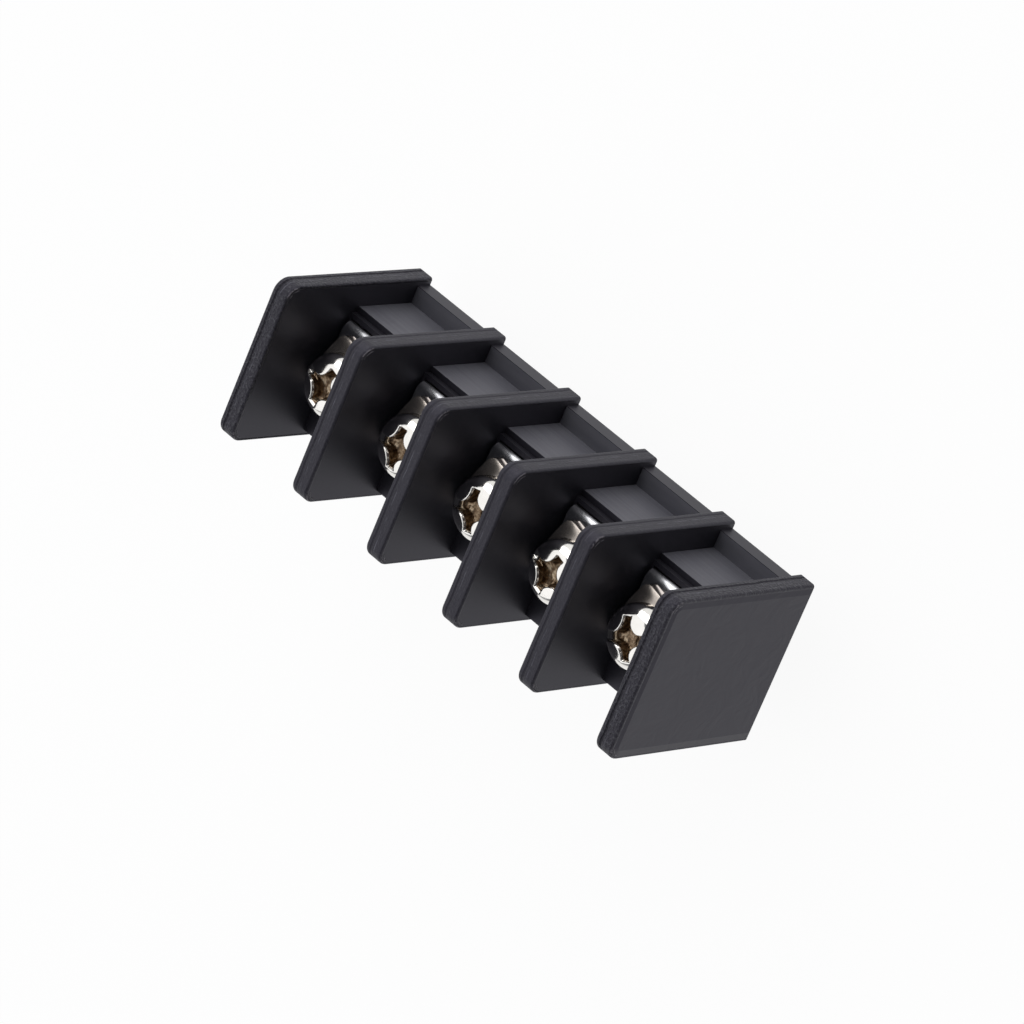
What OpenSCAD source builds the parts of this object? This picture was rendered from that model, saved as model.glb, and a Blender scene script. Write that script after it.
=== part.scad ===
// Barrier terminal strip for a circuit board: five screw positions between
// six barriers, with bent terminals, bowed clamp plates and pan head screws.
// X runs along the strip, the pocketed side faces -Y, and Z = 0 is the face
// that sits on the board.

/* [Strip] */
// Distance from one screw to the next
pitch = 9.5; // [9:0.1:12]

/* [Barriers] */
// Thickness of each barrier
barrier_t = 1.8; // [1.4:0.1:2]
// Height of the barriers above the board
barrier_h = 17; // [15.5:0.5:20]
// Depth of the barriers from front to back
barrier_d = 15; // [14.5:0.5:18]
// Radius of the two upper corners of a barrier
tip_r = 1.3; // [0.8:0.1:2]
// Rounding along the edges of a barrier
edge_r = 0.25; // [0.15:0.05:0.6]

/* [Body] */
// Height of the body that carries the terminals
body_h = 8.4; // [7.8:0.1:9]
// Distance that the rail and the back face lie inside the barrier edges
body_inset = 0.65; // [0.4:0.05:0.9]
// Height of the rail along the front foot of the body
rail_h = 1.5; // [0.8:0.1:2]
// Depth of the front pockets behind the rail
pocket_d = 1.65; // [1:0.05:1.8]
// Height of the small step along the upper front edge of the body
step_h = 0.6; // [0.3:0.05:0.8]
// Depth of that step
step_d = 0.55; // [0.3:0.05:0.6]

/* [Terminal] */
// Thickness of the terminal sheet
sheet_t = 0.8; // [0.6:0.05:0.85]
// Outer radius of the bends of a terminal
bend_r = 0.9; // [0.85:0.05:1]
// Length of a terminal from bend to bend
terminal_d = 8.2; // [8:0.1:8.6]
// Width of a solder pin
pin_w = 1.2; // [0.8:0.1:1.5]
// Length of a solder pin below the base
pin_l = 3.8; // [2.5:0.1:5]

/* [Clamp plate] */
// Thickness of a clamp plate
clamp_t = 0.6; // [0.4:0.05:0.8]
// Height of the bow under a clamp plate
clamp_rise = 1.2; // [0.6:0.05:1.3]
// Length of a clamp plate along the strip
clamp_w = 6.2; // [5.6:0.1:6.2]
// Depth of a clamp plate across the strip
clamp_d = 6; // [5.4:0.1:6.2]
// Turn of the clamp plates, as the tightened screws dragged them round
clamp_turn = 11; // [0:1:12]

/* [Screw] */
// Thread diameter
screw_d = 3; // [2.6:0.1:3.2]
// Length of a screw below its head
screw_l = 8; // [6:0.5:8]
// Head diameter
head_d = 5.6; // [5.4:0.1:6.4]
// Head height
head_h = 2.4; // [2:0.1:2.7]

/* [Hidden] */
$fn = 64;

positions = 5;
// Angle of each screw's slot from the strip, as the driver left it
slot_turn = [25, 165, 13, 4, 165];

// Housing
bay_w = pitch - barrier_t;
rail_y = -barrier_d / 2 + body_inset;
back_y = barrier_d / 2 - body_inset;
floor_y = rail_y + pocket_d;
step_y = floor_y + step_d;
post_gap = 0.3;
post_hole_d = screw_d + 2 * post_gap;
post_hole_floor = 1.6;

// Terminal
side_gap = 0.35;
terminal_w = bay_w - 2 * side_gap;
top_z = body_h + sheet_t;
leg_gap = 0.1;
bend_room = 0.05;
leg_y = terminal_d / 2;
slot_in = leg_y - bend_r - bend_room;
slot_out = leg_y + leg_gap;
leg_end = body_h / 2;
tab_l = 2.6;
tab_end = body_h - tab_l;
pin_tip = 0.35;
collar_d = screw_d + 1.4;
collar_l = 1.2;
thread_gap = 0.05;

// Clamp plate
bow_r = (pow(clamp_d / 2, 2) + pow(clamp_rise, 2)) / (2 * clamp_rise);
clamp_top = top_z + clamp_rise + clamp_t;
clamp_corner = 0.5;
clamp_hole_d = screw_d + 0.4;

// Screw
head_r = head_d / 2;
head_round = 0.8;
crown_r = 6;
slot_w = 0.85;
slot_depth = 0.8;
recess_r = 2;
recess_depth = 1.6;
recess_core = 1.15;
recess_arm = 0.55;
tip_chamfer = 0.4;

overlap = 0.5;

function position_x(i) = (i - (positions + 1) / 2) * pitch;

// Rounded end of a barrier's cross-section, edge_r wide and barrier_t high,
// reaching root inwards
module rim_section(root) {
    translate([-root, edge_r])
        square([root + edge_r, barrier_t - 2 * edge_r]);
    intersection() {
        translate([-root, 0])
            square([root + edge_r, barrier_t]);
        for (v = [edge_r, barrier_t - edge_r])
            translate([0, v])
                circle(edge_r);
    }
}

// Quarter disc of a barrier's upper corner, with the rounded rim turned round
// it and a block that ties it to the flat middle
module barrier_corner() {
    tie = 0.7 * (tip_r - edge_r);
    rotate_extrude(angle = 90) {
        square([tip_r - edge_r, barrier_t]);
        translate([tip_r - edge_r, 0])
            rim_section(0);
    }
    translate([-overlap, -overlap, 0])
        cube([overlap + tie, overlap + tie, barrier_t]);
}

// Upper corner of a barrier and the rim that runs down from it
module barrier_side() {
    translate([barrier_d / 2 - tip_r, barrier_h - tip_r])
        barrier_corner();
    translate([barrier_d / 2 - edge_r, barrier_h - tip_r, 0])
        rotate([90, 0, 0])
            linear_extrude(barrier_h - tip_r)
                rim_section(overlap);
}

// Barrier lying flat, its plain base along X and its tip towards Y
module flat_barrier() {
    tip_w = barrier_d - 2 * tip_r;
    linear_extrude(barrier_t) {
        translate([-tip_w / 2, 0])
            square([tip_w, barrier_h - edge_r]);
        translate([edge_r - barrier_d / 2, 0])
            square([barrier_d - 2 * edge_r, barrier_h - tip_r]);
    }
    translate([-tip_w / 2, barrier_h - edge_r, 0])
        rotate([90, 0, 90])
            linear_extrude(tip_w)
                rim_section(overlap);
    barrier_side();
    mirror([1, 0])
        barrier_side();
}

module barrier(x) {
    translate([x - barrier_t / 2, 0, 0])
        rotate([90, 0, 90])
            flat_barrier();
}

// Cross-section of the body: rail, pocket floor, step and plain back
module body_section() {
    polygon([
        [rail_y, 0], [back_y, 0], [back_y, body_h], [step_y, body_h],
        [step_y, body_h - step_h], [floor_y, body_h - step_h],
        [floor_y, rail_h], [rail_y, rail_h]
    ]);
}

// Room in the body for one terminal and its screw
module terminal_seat() {
    leg_room = terminal_w + 2 * leg_gap;
    pin_room = pin_w + 3 * leg_gap;
    translate([-leg_room / 2, -slot_out, leg_end - leg_gap])
        cube([leg_room, slot_out - slot_in, body_h]);
    translate([-pin_room / 2, -slot_out, -overlap])
        cube([pin_room, slot_out - slot_in, body_h]);
    translate([-leg_room / 2, slot_in, tab_end - leg_gap])
        cube([leg_room, slot_out - slot_in, body_h]);
    translate([0, 0, post_hole_floor])
        cylinder(d = post_hole_d, h = body_h);
    translate([0, 0, body_h - collar_l - leg_gap])
        cylinder(d = collar_d + 2 * leg_gap, h = body_h);
}

module housing() {
    color("#2a2b2e")
        difference() {
            union() {
                for (k = [0 : positions])
                    barrier((k - positions / 2) * pitch);
                translate([-positions * pitch / 2, 0, 0])
                    rotate([90, 0, 90])
                        linear_extrude(positions * pitch)
                            body_section();
            }
            for (i = [1 : positions])
                translate([position_x(i), 0, 0])
                    terminal_seat();
        }
}

// Quarter bend of the sheet, from the top plate into the back leg
module bend_section() {
    translate([leg_y - bend_r, top_z - bend_r])
        difference() {
            intersection() {
                circle(bend_r);
                square(bend_r);
            }
            circle(bend_r - sheet_t);
        }
}

// Front leg: a wide shoulder that narrows to the solder pin
module pin_leg() {
    w = terminal_w / 2;
    p = pin_w / 2;
    rotate([90, 0, 0])
        linear_extrude(sheet_t)
            polygon([
                [-w, top_z - bend_r], [-w, leg_end + w - p], [-p - bend_r, leg_end],
                [-p, leg_end], [-p, pin_tip - pin_l], [-p / 2, -pin_l],
                [p / 2, -pin_l], [p, pin_tip - pin_l], [p, leg_end],
                [p + bend_r, leg_end], [w, leg_end + w - p], [w, top_z - bend_r]
            ]);
}

module terminal(i) {
    color("#c9c5bc")
        translate([position_x(i), 0, 0])
            difference() {
                union() {
                    translate([-terminal_w / 2, 0, 0])
                        rotate([90, 0, 90])
                            linear_extrude(terminal_w) {
                                translate([bend_r - leg_y, body_h])
                                    square([2 * (leg_y - bend_r), sheet_t]);
                                bend_section();
                                mirror([1, 0])
                                    bend_section();
                                translate([leg_y - sheet_t, tab_end])
                                    square([sheet_t, top_z - bend_r - tab_end]);
                            }
                    translate([0, sheet_t - leg_y, 0])
                        pin_leg();
                    translate([0, 0, body_h - collar_l])
                        cylinder(d = collar_d, h = collar_l + sheet_t / 2);
                }
                translate([0, 0, body_h - collar_l - overlap])
                    cylinder(d = screw_d, h = collar_l + sheet_t + 2 * overlap);
            }
}

// Outline of a clamp plate seen from above, with rounded corners
module clamp_outline() {
    square([clamp_w - 2 * clamp_corner, clamp_d], center = true);
    square([clamp_w, clamp_d - 2 * clamp_corner], center = true);
    for (x = [-1, 1], y = [-1, 1])
        translate([x * (clamp_w / 2 - clamp_corner), y * (clamp_d / 2 - clamp_corner)])
            circle(clamp_corner);
}

module clamp(i) {
    color("#b9b4aa")
        translate([position_x(i), 0, 0])
            rotate(-clamp_turn)
                difference() {
                    intersection() {
                        translate([-clamp_w / 2 - overlap, 0, top_z + clamp_rise - bow_r])
                            rotate([90, 0, 90])
                                linear_extrude(clamp_w + 2 * overlap)
                                    difference() {
                                        circle(bow_r + clamp_t);
                                        circle(bow_r);
                                    }
                        translate([0, 0, top_z])
                            linear_extrude(clamp_rise + clamp_t + overlap)
                                clamp_outline();
                    }
                    translate([0, 0, top_z - overlap])
                        cylinder(d = clamp_hole_d, h = clamp_rise + clamp_t + 2 * overlap);
                }
}

// Half profile of the head: straight side and a rounded shoulder that runs
// smoothly into the crowned top
module head_section() {
    shoulder_x = head_r - head_round;
    shoulder_z = head_h - crown_r
        + sqrt(pow(crown_r - head_round, 2) - pow(shoulder_x, 2));
    square([head_r, shoulder_z]);
    intersection() {
        translate([0, head_h - crown_r])
            circle(crown_r);
        square([shoulder_x * crown_r / (crown_r - head_round), head_h]);
    }
    intersection() {
        translate([shoulder_x, shoulder_z])
            circle(head_round);
        square([head_r, head_h]);
    }
}

// Four-armed recess seen from above, with wide fillets between its arms
module recess_outline() {
    arm_x = sqrt(pow(recess_r, 2) - pow(recess_arm, 2));
    spread = (pow(recess_r, 2) - pow(recess_core, 2))
        / (2 * ((arm_x + recess_arm) / sqrt(2) - recess_core));
    difference() {
        circle(recess_r);
        for (k = [0 : 3])
            rotate(45 + 90 * k)
                translate([spread, 0])
                    circle(spread - recess_core);
    }
}

// Cross recess that narrows with depth, and the slot across the head
module drive() {
    intersection() {
        translate([0, 0, head_h - recess_depth])
            linear_extrude(recess_depth + overlap)
                recess_outline();
        translate([0, 0, head_h - recess_depth])
            cylinder(r1 = recess_core, r2 = recess_r + overlap, h = recess_depth + overlap);
    }
    translate([-head_d, -slot_w / 2, head_h - slot_depth])
        cube([2 * head_d, slot_w, head_h]);
}

module screw(i) {
    shank_r = screw_d / 2 - thread_gap;
    color("#d6d1c7")
        translate([position_x(i), 0, clamp_top])
            rotate(slot_turn[i - 1])
                difference() {
                    union() {
                        rotate_extrude()
                            head_section();
                        translate([0, 0, tip_chamfer - screw_l])
                            cylinder(r = shank_r, h = screw_l - tip_chamfer + overlap);
                        translate([0, 0, -screw_l])
                            cylinder(r1 = shank_r - tip_chamfer, r2 = shank_r, h = tip_chamfer);
                    }
                    drive();
                }
}

housing();
terminal(1);  // terminal_1
terminal(2);  // terminal_2
terminal(3);  // terminal_3
terminal(4);  // terminal_4
terminal(5);  // terminal_5
clamp(1);  // clamp_1
clamp(2);  // clamp_2
clamp(3);  // clamp_3
clamp(4);  // clamp_4
clamp(5);  // clamp_5
screw(1);  // screw_1
screw(2);  // screw_2
screw(3);  // screw_3
screw(4);  // screw_4
screw(5);  // screw_5
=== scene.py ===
"""Looks for the barrier terminal strip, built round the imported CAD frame."""
import math

import bpy
import numpy as np
from mathutils import Matrix, Vector


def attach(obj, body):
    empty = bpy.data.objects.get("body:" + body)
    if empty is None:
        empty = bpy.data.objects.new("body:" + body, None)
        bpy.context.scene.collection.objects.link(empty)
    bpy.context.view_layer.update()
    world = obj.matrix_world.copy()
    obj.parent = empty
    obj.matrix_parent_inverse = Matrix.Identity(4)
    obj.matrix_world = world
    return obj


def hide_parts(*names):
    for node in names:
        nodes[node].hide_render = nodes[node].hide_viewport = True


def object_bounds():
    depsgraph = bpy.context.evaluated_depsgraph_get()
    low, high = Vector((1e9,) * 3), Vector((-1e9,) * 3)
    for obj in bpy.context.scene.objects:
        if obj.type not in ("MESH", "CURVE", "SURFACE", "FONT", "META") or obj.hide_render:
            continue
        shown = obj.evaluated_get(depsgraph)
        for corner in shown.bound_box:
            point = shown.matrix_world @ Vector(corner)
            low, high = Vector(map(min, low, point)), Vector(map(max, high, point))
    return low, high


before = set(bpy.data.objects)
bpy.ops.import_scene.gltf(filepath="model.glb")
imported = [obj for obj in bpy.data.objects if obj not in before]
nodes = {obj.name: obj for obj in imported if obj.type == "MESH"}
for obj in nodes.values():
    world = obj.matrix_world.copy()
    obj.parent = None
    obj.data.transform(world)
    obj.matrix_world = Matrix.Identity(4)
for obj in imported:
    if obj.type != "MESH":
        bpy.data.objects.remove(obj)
cad_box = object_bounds()
scene = bpy.context.scene
MM = 0.001
POSITIONS = range(1, 6)
MIDDLE = 3

# Sizes are in millimetres unless a comment says otherwise.

# Housing, where its wear and its pockets lie
PITCH = 9.5
BARRIER_T = 1.8
BARRIER_H = 17.0
BARRIER_D = 15.0
TIP_R = 1.3
END_X = (len(POSITIONS) * PITCH + BARRIER_T) / 2
END_REACH = 1.9
END_SKIN = 0.03
# The pockets' floors lie in this band, and are painted paler as painted light
POCKET_Y = -5.97
POCKET_REACH = 0.8

# Lines along the barriers' edges: places across the thickness or in from the outline
SEAM_ALONG = 0.3
SCRATCH_ALONG = -0.05
FLASH_DEPTHS = (0.15, 0.42)
FLASH_SOFTNESS = (0.07, 0.06)
WAVER = 0.25

# Height of each relief in the plastic
FINE_RELIEF = 0.003
GRAIN_RELIEF = 0.02
SPECK_RELIEF = 0.2
STREAK_RELIEF = 0.03
SEAM_RELIEF = 0.15
RIM_RELIEF = 0.22
SWIRL_RELIEF = 0.04
FLASH_RELIEF = 0.1

# Height of each relief in the metals
SHEET_RELIEF = 0.004
NICKEL_RELIEF = 0.012
# Relief of the blotches inside the screws' recesses
RECESS_BLOT_RELIEF = 0.15

# Colours of the plastic
BLACK_DARK = (0.0064, 0.0060, 0.0080)
BLACK_LIGHT = (0.0090, 0.0085, 0.0110)
SCUFF = (0.04, 0.04, 0.044)
# Flash lines: real flash in relief, with a pale colour that is a painted highlight
FLASH_HIGHLIGHT = (0.12, 0.11, 0.12)
SCRATCH = (0.09, 0.09, 0.105)
# Pockets' floors: painted light, the same black plastic painted paler where the front light falls
POCKET_LIT_DARK = (0.060, 0.060, 0.070)
POCKET_LIT_LIGHT = (0.082, 0.082, 0.092)
PLASTIC_GLINT = (0.84, 0.81, 1.0, 1)

# Colours of the metals, and of the painted brown shade inside the screws' recesses
TIN_DARK = (0.46, 0.46, 0.48)
TIN_LIGHT = (0.58, 0.58, 0.60)
# Clamp plates: nickel painted darker and browner, a painted shade for the dark reflections on
# their tops
CLAMP_SHADE_DARK = (0.42, 0.37, 0.33)
CLAMP_SHADE_LIGHT = (0.54, 0.49, 0.44)
NICKEL_DARK = (0.74, 0.72, 0.68)
NICKEL_LIGHT = (0.82, 0.80, 0.77)
RECESS_SHADE_DARK = (0.10, 0.065, 0.04)
RECESS_SHADE_BROWN = (0.24, 0.17, 0.11)
RECESS_SHADE_PALE = (0.55, 0.45, 0.32)

# Screw head: pan with a crowned top
HEAD_R = 2.8
HEAD_H = 2.4
HEAD_ROUND = 0.8
CROWN_R = 6.0
FOOT_ROUND = 0.1
RIM = 0.07

# Combined recess: a star that narrows downwards and a slot across it
RECESS_R = 2.0
RECESS_ARM = 0.55
RECESS_CORE = 1.05
RECESS_DEPTH = 1.6
RECESS_TAPER = 0.45
CORE_TAPER = 0.12
RECESS_CONE = 0.25
RECESS_ROUND = 0.08
RECESS_FLOOR_ROUND = 0.15
SLOT_W = 0.85
SLOT_DEPTH = 0.95

# Screw shank and thread
SCREW_L = 8.0
SHANK_TOP = 0.3
CREST_R = 1.45
ROOT_R = 1.17
THREAD_PITCH = 0.5
THREAD_START = -0.5
THREAD_FADE = 0.3
FLANK_SLOPE = 1.25
ROOT_FLAT = 0.12
TIP_CHAMFER = 0.4

# Where the screws stand, and the turn of each slot in degrees
CLAMP_TOP = 11.0
SLOT_TURN = {1: 25, 2: 165, 3: 13, 4: 4, 5: 165}

# Meshing of the screw head
NET_CELL = 0.07
NET_MARGIN = 0.15

# Softened edges of the sheet metal
TERMINAL_EDGE = 0.06
CLAMP_EDGE = 0.08
EDGE_ANGLE = math.radians(35)

# Camera, with its place in metres and its axes as rows: right, down and forward
LENS = 240.5
SENSOR = 36
CLIP_NEAR = 0.01
CLIP_FAR = 20
CAMERA_PLACE = (-0.301660, -0.224300, 0.418190)
CAMERA_AXES = (
    (-0.648387, -0.356996, -0.672420),
    (-0.534705, 0.842264, 0.068426),
    (0.541927, 0.403913, -0.737001),
)

# Floor, lamps and sky, with their sizes in metres
FLOOR_REACH = 3.0
FLOOR_DROP = 0.00002
FLOOR_TONE = (0.95, 0.95, 0.95, 1)
FLOOR_ROUGH = 0.9
FLOOR_WHITE = 0.93
LAMP_FAR = 1.0
HORIZON = (1.0, 1.0, 1.0)
HORIZON_END = 0.12
SKY = (0.22, 0.225, 0.24)
SKY_START = 0.35

# Sockets of a colour mix node
MIX_SHARE = 0
MIX_FIRST = 6
MIX_SECOND = 7
MIX_COLOR = 2


def position_x(i):
    return (i - MIDDLE) * PITCH


# Camera: the photograph's view, rolled so that the screws point to the left
def make_camera():
    camera = bpy.data.cameras.new("camera")
    camera.sensor_width = SENSOR
    camera.lens = LENS
    camera.clip_start = CLIP_NEAR
    camera.clip_end = CLIP_FAR
    rig = bpy.data.objects.new("camera", camera)
    upright = Matrix(((1, 0, 0), (0, -1, 0), (0, 0, -1)))
    turn = Matrix(CAMERA_AXES).transposed() @ upright
    rig.matrix_world = Matrix.Translation(Vector(CAMERA_PLACE)) @ turn.to_4x4()
    scene.collection.objects.link(rig)
    scene.camera = rig


# Shader nodes
def new_material(name):
    material = bpy.data.materials.new(name)
    material.use_nodes = True
    tree = material.node_tree
    return material, tree, tree.nodes["Principled BSDF"]


def add(tree, kind, **settings):
    """New node, with in_ settings for its sockets and the others for the node itself."""
    node = tree.nodes.new(kind)
    for key, value in settings.items():
        if key.startswith("in_"):
            node.inputs[key[3:].replace("_", " ")].default_value = value
        else:
            setattr(node, key, value)
    return node


def stretched(tree, vector, *scales):
    """Coordinates scaled along each axis, for grain that runs one way."""
    node = add(tree, "ShaderNodeVectorMath", operation="MULTIPLY")
    tree.links.new(vector, node.inputs[0])
    node.inputs[1].default_value = scales
    return node.outputs[0]


def own_place(tree):
    """The object's own coordinates in millimetres."""
    place = add(tree, "ShaderNodeTexCoord").outputs["Object"]
    return stretched(tree, place, 1 / MM, 1 / MM, 1 / MM)


def apart(tree, vector):
    """The x, y and z of a vector."""
    split = add(tree, "ShaderNodeSeparateXYZ")
    tree.links.new(vector, split.inputs[0])
    return split.outputs


def noise(tree, vector, scale, detail=3.0, swirl=0.0):
    node = add(tree, "ShaderNodeTexNoise", in_Scale=scale, in_Detail=detail, in_Distortion=swirl)
    tree.links.new(vector, node.inputs["Vector"])
    return node.outputs["Fac"]


def ramp(tree, fac, stops):
    """Colour ramp through (position, colour) stops, fed by fac."""
    node = add(tree, "ShaderNodeValToRGB")
    elements = node.color_ramp.elements
    while len(elements) < len(stops):
        elements.new(0.5)
    for element, (position, color) in zip(elements, stops):
        element.position = position
        element.color = (*color, 1)
    tree.links.new(fac, node.inputs["Fac"])
    return node.outputs["Color"]


def spread(tree, fac, low, high, start=0.0, end=1.0):
    """Value that runs from low to high while fac runs from start to end."""
    node = add(tree, "ShaderNodeMapRange", in_From_Min=start, in_From_Max=end,
               in_To_Min=low, in_To_Max=high)
    tree.links.new(fac, node.inputs["Value"])
    return node.outputs["Result"]


def calc(tree, operation, *values):
    """Result of a math node on values, which are numbers or sockets."""
    node = add(tree, "ShaderNodeMath", operation=operation)
    for socket, value in zip(node.inputs, values):
        if isinstance(value, (int, float)):
            socket.default_value = value
        else:
            tree.links.new(value, socket)
    return node.outputs[0]


def product(tree, first, *others):
    """All the values multiplied."""
    for other in others:
        first = calc(tree, "MULTIPLY", first, other)
    return first


def above(tree, value, start, end):
    """Zero up to start, and one from end on."""
    return spread(tree, value, 0.0, 1.0, start, end)


def below(tree, value, start, end):
    """One up to start, and zero from end on."""
    return spread(tree, value, 1.0, 0.0, start, end)


def near(tree, value, middle, reach, soft):
    """One within reach of the middle, and zero beyond reach + soft."""
    away = calc(tree, "ABSOLUTE", calc(tree, "SUBTRACT", value, middle))
    return below(tree, away, reach, reach + soft)


def mixed(tree, share, first, second):
    """Colour that goes from first to second, which are colours or sockets."""
    node = add(tree, "ShaderNodeMix", data_type="RGBA")
    for index, value in ((MIX_SHARE, share), (MIX_FIRST, first), (MIX_SECOND, second)):
        if isinstance(value, tuple):
            node.inputs[index].default_value = (*value, 1)
        else:
            tree.links.new(value, node.inputs[index])
    return node.outputs[MIX_COLOR]


def bumpy(tree, shader, reliefs):
    """Adds relief to the shader: pairs of a pattern and its height in millimetres."""
    last = None
    for pattern, height in reliefs:
        bump = add(tree, "ShaderNodeBump", in_Strength=1.0, in_Distance=height * MM)
        tree.links.new(pattern, bump.inputs["Height"])
        if last:
            tree.links.new(last, bump.inputs["Normal"])
        last = bump.outputs["Normal"]
    tree.links.new(last, shader.inputs["Normal"])


# Black plastic of the housing
def barrier_places(tree, x, y, z):
    """Where on a barrier a point lies: across its thickness, past the centre of the tip's
    rounding to the side and upwards, and how deep inside the outline."""
    along = calc(tree, "SUBTRACT", calc(tree, "WRAP", x, PITCH, 0.0), PITCH / 2)
    side = calc(tree, "SUBTRACT", calc(tree, "ABSOLUTE", y), BARRIER_D / 2 - TIP_R)
    top = calc(tree, "SUBTRACT", z, BARRIER_H - TIP_R)
    out_side = calc(tree, "MAXIMUM", side, 0.0)
    out_top = calc(tree, "MAXIMUM", top, 0.0)
    square_side = calc(tree, "POWER", out_side, 2.0)
    square_top = calc(tree, "POWER", out_top, 2.0)
    outer = calc(tree, "SQRT", calc(tree, "ADD", square_side, square_top))
    inner = calc(tree, "MINIMUM", calc(tree, "MAXIMUM", side, top), 0.0)
    depth = calc(tree, "SUBTRACT", TIP_R, calc(tree, "ADD", outer, inner))
    return along, out_side, out_top, depth


def flash_highlight_lines(tree, depth, out_side, out_top, speck):
    """Broken lines of flash round the corners of the tips, drawn pale as a painted highlight."""
    lines = [near(tree, depth, middle, reach=0.02, soft=soft)
             for middle, soft in zip(FLASH_DEPTHS, FLASH_SOFTNESS)]
    at_corner = above(tree, calc(tree, "MINIMUM", out_side, out_top), start=0.1, end=0.4)
    broken = above(tree, speck, start=0.42, end=0.5)
    return product(tree, calc(tree, "ADD", *lines), at_corner, broken)


def scratch_line(tree, along, at_edge, place):
    """A faint line that comes and goes along the edges."""
    line = near(tree, along, SCRATCH_ALONG, reach=0.01, soft=0.05)
    broken = above(tree, noise(tree, place, scale=0.9), start=0.45, end=0.75)
    return product(tree, line, at_edge, broken)


def seam_line(tree, along, at_edge, end_plate):
    """The mould seam along the edges, deepest on the end plates."""
    line = near(tree, along, SEAM_ALONG, reach=0.05, soft=0.1)
    return product(tree, line, at_edge, spread(tree, end_plate, low=0.35, high=1.0))


def pocket_floor(tree, along, y):
    """The pockets' floors, which lie between the barriers; their paler colour is painted light.
    """
    away = calc(tree, "ABSOLUTE", along)
    in_bay = above(tree, away, start=BARRIER_T / 2 + 0.02, end=BARRIER_T / 2 + 0.06)
    return product(tree, in_bay, near(tree, y, POCKET_Y, POCKET_REACH, soft=0.03))


def plastic_marks(tree, place):
    """Patterns of the plastic and masks of where each mark lies, by name."""
    x, y, z = apart(tree, place)
    along, out_side, out_top, depth = barrier_places(tree, x, y, z)
    end_plate = near(tree, calc(tree, "ABSOLUTE", x), END_X, END_REACH, soft=0.1)
    end_face = near(tree, calc(tree, "ABSOLUTE", x), END_X, END_SKIN, soft=END_SKIN)
    at_edge = below(tree, depth, start=0.05, end=0.3)
    speck = noise(tree, place, scale=4.0)
    waver = calc(tree, "SUBTRACT", noise(tree, place, scale=0.5), 0.5)
    waver = product(tree, waver, WAVER)
    wavy_depth = calc(tree, "ADD", depth, waver)
    wavy_along = calc(tree, "SUBTRACT", along, waver)
    swirl = noise(tree, place, scale=0.35, detail=2.0, swirl=1.5)
    return {
        "cloud": noise(tree, place, scale=0.12),
        "fine": noise(tree, place, scale=3.5),
        "speck": speck,
        "streak": noise(tree, stretched(tree, place, 9.0, 0.8, 0.8), scale=1.0, detail=2.0),
        "grain": noise(tree, stretched(tree, place, 0.12, 1.0, 4.0), scale=1.0),
        "at_edge": at_edge,
        "worn": product(tree, at_edge, spread(tree, end_plate, low=0.25, high=1.0)),
        "flash_highlight": flash_highlight_lines(tree, wavy_depth, out_side, out_top, speck),
        "scratch": scratch_line(tree, wavy_along, at_edge, place),
        "seam": seam_line(tree, wavy_along, at_edge, end_plate),
        "pocket": pocket_floor(tree, along, y),
        "rim": product(tree, end_face, above(tree, depth, start=0.2, end=0.85)),
        "swirl": product(tree, end_face, swirl),
    }


def color_plastic(tree, shader, marks):
    """Black, paler where it is worn; painted light makes the pockets' floors paler and the flash
    lines bright.
    """
    scuff = product(tree, marks["worn"], above(tree, marks["speck"], start=0.5, end=0.7))
    # Painted light: the pockets' floors take a paler, streaked colour
    pocket_painted_light = ramp(tree, marks["grain"], [(0.3, POCKET_LIT_DARK), (0.7, POCKET_LIT_LIGHT)])
    tone = ramp(tree, marks["cloud"], [(0.3, BLACK_DARK), (0.75, BLACK_LIGHT)])
    tone = mixed(tree, scuff, tone, SCUFF)
    # Painted highlight: the flash lines are drawn pale
    tone = mixed(tree, marks["flash_highlight"], tone, FLASH_HIGHLIGHT)
    tone = mixed(tree, marks["scratch"], tone, SCRATCH)
    tone = mixed(tree, marks["pocket"], tone, pocket_painted_light)
    tree.links.new(tone, shader.inputs["Base Color"])


def roughen_plastic(tree, shader, marks):
    """Satin, rougher on the edges and most on the seam."""
    rough = spread(tree, marks["cloud"], low=0.42, high=0.50)
    rough = calc(tree, "ADD", rough, product(tree, marks["at_edge"], 0.1))
    rough = calc(tree, "ADD", rough, product(tree, marks["seam"], 0.4))
    tree.links.new(rough, shader.inputs["Roughness"])
    shader.inputs["Specular IOR Level"].default_value = 0.5
    shader.inputs["Specular Tint"].default_value = PLASTIC_GLINT


def emboss_plastic(tree, shader, marks):
    """Relief of the plastic: raised marks, and the seam cut in."""
    bumpy(tree, shader, [
        (marks["fine"], FINE_RELIEF),
        (product(tree, marks["pocket"], marks["grain"]), GRAIN_RELIEF),
        (product(tree, marks["worn"], marks["speck"]), SPECK_RELIEF),
        (product(tree, marks["at_edge"], marks["streak"]), STREAK_RELIEF),
        (product(tree, marks["seam"], -1.0), SEAM_RELIEF),
        (marks["rim"], RIM_RELIEF),
        (marks["swirl"], SWIRL_RELIEF),
        (marks["flash_highlight"], FLASH_RELIEF),
    ])


def plastic_material():
    """Black moulded plastic, streaked in the pockets and scuffed along the barrier edges, with
    painted light on the pockets' floors and on the flash lines.
    """
    material, tree, shader = new_material("black_plastic")
    marks = plastic_marks(tree, own_place(tree))
    color_plastic(tree, shader, marks)
    roughen_plastic(tree, shader, marks)
    emboss_plastic(tree, shader, marks)
    return material


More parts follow.
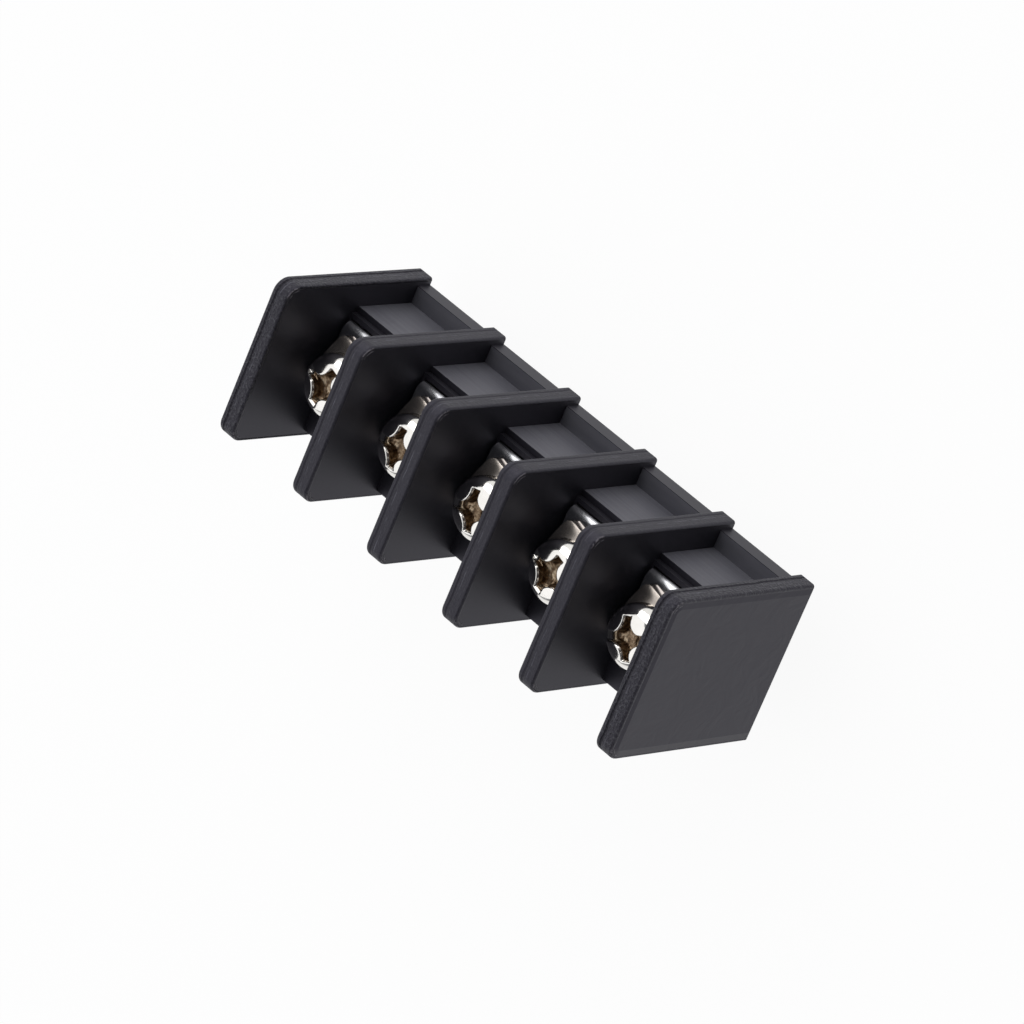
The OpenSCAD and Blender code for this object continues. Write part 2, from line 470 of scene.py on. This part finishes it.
# Metals
def sheet_material(name, dark, light, rough):
    """Plated sheet with a cloudy tone and a slight ripple."""
    material, tree, shader = new_material(name)
    place = own_place(tree)
    cloud = noise(tree, place, scale=0.4)
    ripple = noise(tree, place, scale=0.9, detail=2.0)
    tone = ramp(tree, cloud, [(0.3, dark), (0.7, light)])
    tree.links.new(tone, shader.inputs["Base Color"])
    clouded = spread(tree, cloud, low=rough * 0.7, high=rough * 1.4)
    tree.links.new(clouded, shader.inputs["Roughness"])
    bumpy(tree, shader, [(ripple, SHEET_RELIEF)])
    shader.inputs["Metallic"].default_value = 1.0
    return material


def recess_inside(tree, x, y, z):
    """The walls and the floor of a screw's recess, below the crowned top."""
    square = calc(tree, "ADD", calc(tree, "POWER", x, 2.0), calc(tree, "POWER", y, 2.0))
    crown = calc(tree, "SUBTRACT", HEAD_H, calc(tree, "DIVIDE", square, 2 * CROWN_R))
    deep = above(tree, calc(tree, "SUBTRACT", crown, z), start=0.12, end=0.3)
    within = below(tree, square, start=(RECESS_R - 0.15) ** 2, end=(RECESS_R + 0.1) ** 2)
    return product(tree, deep, within)


def nickel_material():
    """Bright nickel, with a painted brown, blotchy shade inside the screws' recesses."""
    material, tree, shader = new_material("bright_nickel")
    place = own_place(tree)
    x, y, z = apart(tree, place)
    cloud = noise(tree, place, scale=0.5)
    blot = noise(tree, place, scale=2.2)
    ripple = noise(tree, place, scale=1.1, detail=2.0)
    inside = recess_inside(tree, x, y, z)
    clean = ramp(tree, cloud, [(0.3, NICKEL_DARK), (0.7, NICKEL_LIGHT)])
    # Painted shade: brown blotches darken the recess below the crowned top
    recess_shade = ramp(tree, blot, [(0.35, RECESS_SHADE_DARK), (0.5, RECESS_SHADE_BROWN), (0.7, RECESS_SHADE_PALE)])
    tree.links.new(mixed(tree, inside, clean, recess_shade), shader.inputs["Base Color"])
    rough = spread(tree, cloud, low=0.08, high=0.16)
    rough = calc(tree, "ADD", rough, product(tree, inside, 0.2))
    tree.links.new(rough, shader.inputs["Roughness"])
    bumpy(tree, shader, [(ripple, NICKEL_RELIEF), (product(tree, inside, blot), RECESS_BLOT_RELIEF)])
    shader.inputs["Metallic"].default_value = 1.0
    return material


def dress(name, material):
    mesh = nodes[name].data
    mesh.materials.clear()
    mesh.materials.append(material)


def dress_cad():
    plastic = plastic_material()
    tin = sheet_material("tin_plate", TIN_DARK, TIN_LIGHT, rough=0.2)
    # The clamps' dark brown nickel is painted shade
    plate = sheet_material("clamp_nickel_painted_shade", CLAMP_SHADE_DARK, CLAMP_SHADE_LIGHT, rough=0.14)
    dress("housing", plastic)
    for i in POSITIONS:
        dress(f"terminal_{i}", tin)
        dress(f"clamp_{i}", plate)


# Meshing of a shape given as a field: a signed distance, negative inside
def crossing_sums(value, axis):
    """For each cell, the sum and the count of the crossings on its edges along the axis."""
    size = np.array(value.shape) - 1
    total = np.zeros((*size, 3))
    count = np.zeros(size)
    first = np.take(value, range(value.shape[axis] - 1), axis)
    second = np.take(value, range(1, value.shape[axis]), axis)
    crossed = (first < 0) != (second < 0)
    with np.errstate(divide="ignore", invalid="ignore"):
        part = np.where(crossed, first / (first - second), 0)
    one, other = [a for a in range(3) if a != axis]
    for p in (0, 1):
        for q in (0, 1):
            corner = np.zeros(3, dtype=int)
            corner[one] = p
            corner[other] = q
            window = tuple(slice(c, c + s) for c, s in zip(corner, size))
            spot = np.zeros((*size, 3))
            spot[..., one] = p
            spot[..., other] = q
            spot[..., axis] = part[window]
            total += spot * crossed[window][..., None]
            count += crossed[window]
    return total, count


def crossing_quads(value, axis, index):
    """Quads round the grid's edges along the axis that cross the surface."""
    u = (axis + 1) % 3
    v = (axis + 2) % 3
    first = np.take(value, range(value.shape[axis] - 1), axis)
    second = np.take(value, range(1, value.shape[axis]), axis)
    where = np.argwhere((first < 0) != (second < 0))
    where = where[(where[:, u] > 0) & (where[:, v] > 0)]
    ring = []
    for du, dv in ((1, 1), (0, 1), (0, 0), (1, 0)):
        spot = where.copy()
        spot[:, u] -= du
        spot[:, v] -= dv
        ring.append(index[tuple(spot.T)])
    quad = np.stack(ring, 1)
    outward = first[tuple(where.T)] < 0
    return np.where(outward[:, None], quad, quad[:, ::-1])


def surface_net(field, low, high, cell):
    """Points and quads of the surface where the field is zero, in the field's own units."""
    axes = [np.arange(a, b + cell, cell) for a, b in zip(low, high)]
    value = field(*np.meshgrid(*axes, indexing="ij"))
    sums = [crossing_sums(value, axis) for axis in range(3)]
    total = sum(s[0] for s in sums)
    count = sum(s[1] for s in sums)
    active = count > 0
    index = np.full(active.shape, -1)
    index[active] = np.arange(active.sum())
    middles = total[active] / count[active][:, None]
    points = (np.argwhere(active) + middles) * cell + np.array(low)
    return points, np.concatenate([crossing_quads(value, axis, index) for axis in range(3)])


def settle(field, points, steps=4, reach=0.01, least=0.05):
    """Moves the points onto the surface where the field is zero."""
    for _ in range(steps):
        slopes = [field(*(points + reach * axis).T) - field(*(points - reach * axis).T)
                  for axis in np.eye(3)]
        slope = np.stack(slopes, 1) / (2 * reach)
        steepness = np.maximum((slope ** 2).sum(1), least)
        points = points - (field(*points.T) / steepness)[:, None] * slope
    return points


def both(a, b, r):
    """Field of what two shapes share, with a fillet of radius r where they meet."""
    return np.minimum(-r, np.maximum(a, b)) + np.hypot(np.maximum(a + r, 0), np.maximum(b + r, 0))


# Screws
def star_field(x, y, deep):
    """Field of the four-armed recess, at the given depth below the top of the head."""
    reach = RECESS_R - RECESS_TAPER * deep
    arm_x = (RECESS_R + RECESS_ARM) / math.sqrt(2)
    arm_y = (RECESS_R - RECESS_ARM) / math.sqrt(2)
    bulge = (arm_x ** 2 + arm_y ** 2 - RECESS_CORE ** 2) / (2 * (arm_x - RECESS_CORE))
    bulge_r = bulge - RECESS_CORE + CORE_TAPER * deep
    bulge_xy = bulge / math.sqrt(2)
    between_arms = bulge_r - np.hypot(x - bulge_xy, y - bulge_xy)
    star = both(np.maximum(x, y) - reach, between_arms, RECESS_ROUND)
    floor = deep - RECESS_DEPTH + RECESS_CONE * np.hypot(x, y)
    return both(star, floor, RECESS_FLOOR_ROUND)


def head_field(x, y, z):
    """Field of the screw head with its slot and recess, in millimetres."""
    r = np.hypot(x, y)
    crown = np.hypot(r, z - (HEAD_H - CROWN_R)) - CROWN_R
    solid = both(crown, r - HEAD_R, HEAD_ROUND)
    solid = both(solid, -z, FOOT_ROUND)
    deep = HEAD_H - z
    star = star_field(np.abs(x), np.abs(y), deep)
    slot = both(np.abs(y) - SLOT_W / 2, deep - SLOT_DEPTH, RECESS_ROUND)
    return both(solid, -np.minimum(star, slot), RIM)


def head_mesh():
    low = (-HEAD_R - NET_MARGIN, -HEAD_R - NET_MARGIN, -NET_MARGIN)
    high = (HEAD_R + NET_MARGIN, HEAD_R + NET_MARGIN, HEAD_H + NET_MARGIN)
    points, quads = surface_net(head_field, low, high, NET_CELL)
    return settle(head_field, points), [tuple(q) for q in quads]


def shank_radius(z, a):
    """Radius of the threaded shank at the height z and the angle a, in turns."""
    phase = np.mod(z / THREAD_PITCH - a, 1)
    wave = np.clip(np.abs(2 * phase - 1) * FLANK_SLOPE - ROOT_FLAT, 0, 1)
    fade = np.clip((THREAD_START - z) / THREAD_FADE, 0, 1)
    cut = np.where(z > THREAD_START, 1, 1 - wave * fade)
    radius = ROOT_R + (CREST_R - ROOT_R) * cut
    return np.minimum(radius, CREST_R - TIP_CHAMFER + (z + SCREW_L))


def shank_mesh(sides=40, per_turn=10):
    """Points and faces of the threaded shank, which hangs from z = 0."""
    rows = int(SCREW_L / THREAD_PITCH * per_turn)
    levels = np.linspace(SHANK_TOP, -SCREW_L, rows)
    z, a = np.meshgrid(levels, np.arange(sides) / sides, indexing="ij")
    radius = shank_radius(z, a)
    turn = 2 * np.pi * a
    points = np.stack([radius * np.cos(turn), radius * np.sin(turn), z], -1).reshape(-1, 3)
    faces = []
    for row in range(rows - 1):
        upper = row * sides
        lower = upper + sides
        for k in range(sides):
            n = (k + 1) % sides
            faces.append((upper + k, lower + k, lower + n, upper + n))
    faces.append(tuple((rows - 1) * sides + k for k in range(sides))[::-1])
    return points, faces


def make_object(name, points, faces, material):
    mesh = bpy.data.meshes.new(name)
    mesh.from_pydata([tuple(p) for p in points], [], faces)
    mesh.materials.append(material)
    mesh.shade_smooth()
    thing = bpy.data.objects.new(name, mesh)
    scene.collection.objects.link(thing)
    return thing


def make_screws():
    """One head and threaded shank for each screw, in place of its plain solid."""
    nickel = nickel_material()
    points, faces = head_mesh()
    shank, shank_faces = shank_mesh()
    faces = faces + [tuple(len(points) + k for k in face) for face in shank_faces]
    points = np.concatenate([points, shank]) * MM
    for i in POSITIONS:
        piece = make_object(f"screw_{i}_head", points, faces, nickel)
        turn = Matrix.Rotation(math.radians(SLOT_TURN[i]), 4, "Z")
        place = (position_x(i) * MM, 0, CLAMP_TOP * MM)
        piece.matrix_world = Matrix.Translation(place) @ turn
        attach(piece, f"bolt_{i}")
        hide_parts(f"screw_{i}")


# Soft edges on the sheet metal
def soften(name, width):
    bevel = nodes[name].modifiers.new("soft_edges", "BEVEL")
    bevel.width = width * MM
    bevel.segments = 3
    bevel.limit_method = "ANGLE"
    bevel.angle_limit = EDGE_ANGLE
    bevel.harden_normals = False


def soften_sheets():
    for i in POSITIONS:
        soften(f"terminal_{i}", TERMINAL_EDGE)
        soften(f"clamp_{i}", CLAMP_EDGE)


# Floor and light
def floor_material():
    """Plain white to the camera and in reflections, with a weak part that takes the shadow."""
    material, tree, shader = new_material("floor_white")
    shader.inputs["Base Color"].default_value = FLOOR_TONE
    shader.inputs["Roughness"].default_value = FLOOR_ROUGH
    white = add(tree, "ShaderNodeEmission", in_Strength=1.0)
    path = add(tree, "ShaderNodeLightPath")
    seen = calc(tree, "MAXIMUM", path.outputs["Is Camera Ray"], path.outputs["Is Glossy Ray"])
    mix = add(tree, "ShaderNodeMixShader")
    tree.links.new(product(tree, seen, FLOOR_WHITE), mix.inputs["Fac"])
    tree.links.new(shader.outputs["BSDF"], mix.inputs[1])
    tree.links.new(white.outputs["Emission"], mix.inputs[2])
    tree.links.new(mix.outputs[0], tree.nodes["Material Output"].inputs["Surface"])
    return material


def make_floor():
    mesh = bpy.data.meshes.new("floor")
    level = cad_box[0].z - FLOOR_DROP
    corners = [(x * FLOOR_REACH, y * FLOOR_REACH, level)
               for x, y in ((-1, -1), (1, -1), (1, 1), (-1, 1))]
    mesh.from_pydata(corners, [], [(0, 1, 2, 3)])
    floor = bpy.data.objects.new("floor", mesh)
    scene.collection.objects.link(floor)
    mesh.materials.append(floor_material())


def make_lamp(name, direction, width, length, level):
    """Soft lamp, LAMP_FAR away, that lights a facing surface to about the level."""
    lamp = bpy.data.lights.new(name, "AREA")
    lamp.shape = "RECTANGLE"
    lamp.size = width
    lamp.size_y = length
    lamp.energy = level * (math.pi * LAMP_FAR) ** 2
    thing = bpy.data.objects.new(name, lamp)
    toward = Vector(direction).normalized()
    turn = toward.to_track_quat("Z", "Y").to_matrix().to_4x4()
    thing.matrix_world = Matrix.Translation(toward * LAMP_FAR) @ turn
    scene.collection.objects.link(thing)


def make_world():
    """White at the horizon and dimmer above it, so that the bays stay dark."""
    world = bpy.data.worlds.new("studio")
    scene.world = world
    world.use_nodes = True
    tree = world.node_tree
    upwards = apart(tree, add(tree, "ShaderNodeTexCoord").outputs["Generated"])["Z"]
    sky = ramp(tree, upwards, [(HORIZON_END, HORIZON), (SKY_START, SKY)])
    tree.links.new(sky, tree.nodes["Background"].inputs["Color"])


make_camera()
dress_cad()
make_screws()
soften_sheets()
make_floor()
make_lamp("lamp_top", direction=(0.55, 0.08, 0.83), width=2.3, length=1.5, level=1.1)
make_lamp("lamp_front", direction=(0.22, -0.90, 0.38), width=0.8, length=0.8, level=0.55)
make_world()
scene.view_settings.view_transform = "Standard"
